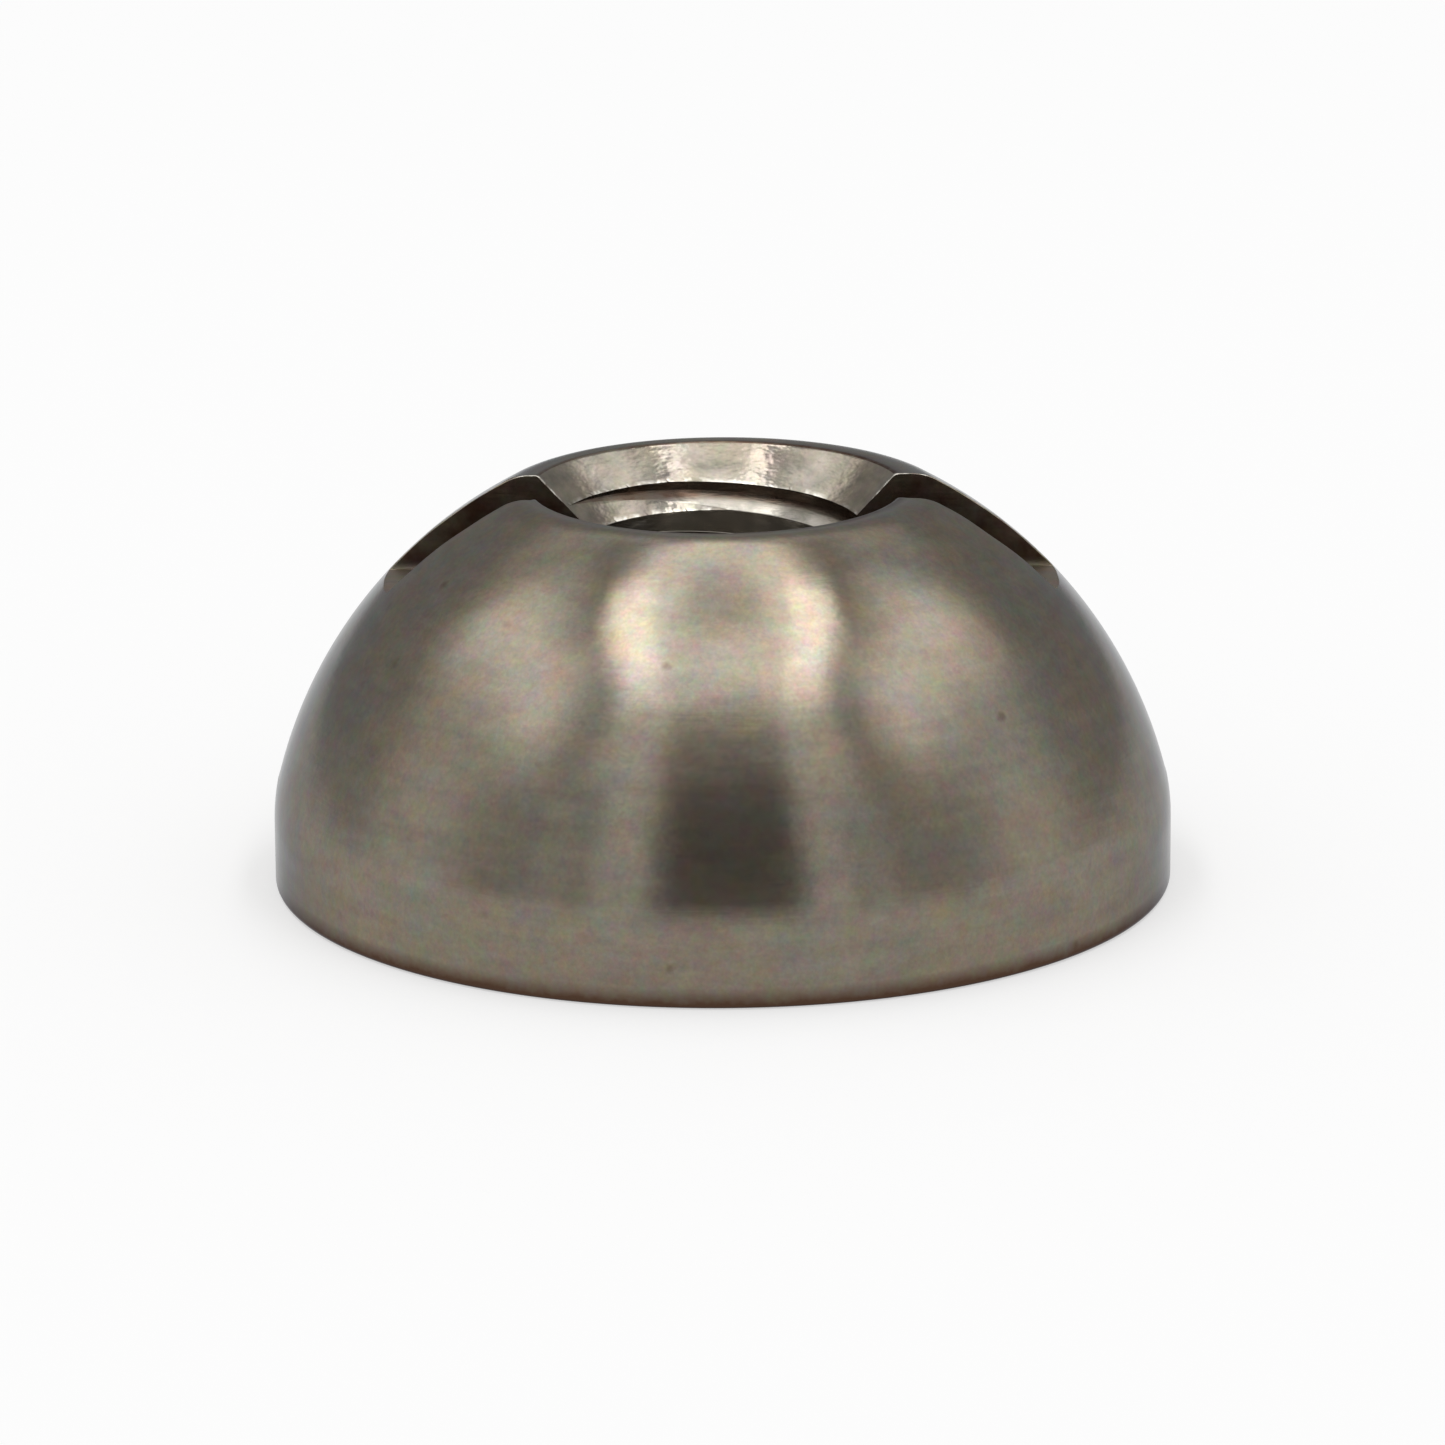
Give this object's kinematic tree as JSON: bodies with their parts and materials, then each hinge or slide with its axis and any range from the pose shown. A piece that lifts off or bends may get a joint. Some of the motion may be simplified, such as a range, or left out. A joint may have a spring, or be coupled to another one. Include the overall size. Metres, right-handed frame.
{
  "type": "faucet shaft nut",
  "caption": "Domed round nut with a screwdriver slot, a countersunk threaded hole and a flat base that holds a faucet's seat washer.",
  "frame": {"origin": "on the nut's axis, in the plane of the flat base", "axes": "+Z along the nut's axis, from the flat base to the slotted top of the dome; +X along the screwdriver slot"},
  "size_m": [0.012, 0.012, 0.0053],
  "materials": {
    "stainless": "fine turned finish in warm grey stainless steel, satin, with light wear on the edges of the slot"
  },
  "bodies": {
    "root": {"shaft_nut": "stainless"}
  },
  "joints": []
}
